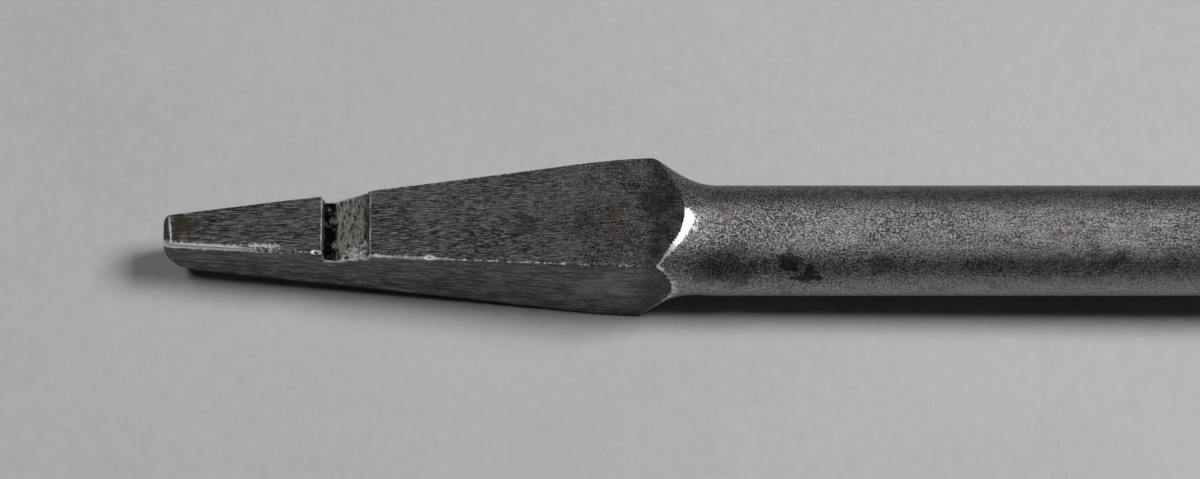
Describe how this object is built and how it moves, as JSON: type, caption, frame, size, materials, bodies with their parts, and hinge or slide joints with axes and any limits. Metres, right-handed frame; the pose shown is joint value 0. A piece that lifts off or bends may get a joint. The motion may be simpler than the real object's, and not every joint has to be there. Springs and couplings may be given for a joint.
{
  "type": "expansive brace bit",
  "caption": "Wood-boring bit for a carpenter's brace: notched tapered square tang, heavy round shank, and a flat-sided head with a clamped sliding cutter and a lead screw.",
  "frame": {"origin": "the point where the bit's axis meets the end face of the tang", "axes": "+X along the bit's axis from the tang to the lead screw; +Z out of the notched flat of the tang and the clamp's side of the head; +Y the way the cutter slides out"},
  "size_m": [0.2139, 0.022, 0.0154],
  "materials": {
    "worn_forged_steel": "dark, lightly pitted forged steel, file scratches along the flats, bright worn corners and faint rust",
    "bright_worn_steel": "ground tool steel, dulled and lightly stained, bright at the cutting edges",
    "blued_steel": "dark oiled steel with a burnished rim"
  },
  "bodies": {
    "bit": {"bit_body": "worn_forged_steel", "lead_screw": "bright_worn_steel", "lead_screw_pin": "bright_worn_steel"},
    "cutter": {"sliding_cutter": "bright_worn_steel"},
    "clamp": {"clamp_plate": "worn_forged_steel"},
    "screw": {"clamp_screw": "blued_steel"}
  },
  "joints": [
    {"name": "cutter_slide", "type": "slide", "parent": "bit", "child": "cutter", "axis": [0, 1, 0], "range_m": [0, 0.0111]},
    {"name": "clamp_lift", "type": "slide", "parent": "bit", "child": "clamp", "axis": [0, 0, 1], "range_m": [0, 0.0008]},
    {"name": "clamp_screw_turn", "type": "hinge", "parent": "clamp", "child": "screw", "pos_m": [0.1822, 0, 0.0085], "axis": [0, 0, 1], "range_deg": [0, 360]}
  ],
  "couplings": [
    {"joint": "clamp_screw_turn", "follows": "clamp_lift", "rad_per_m": 7854}
  ]
}
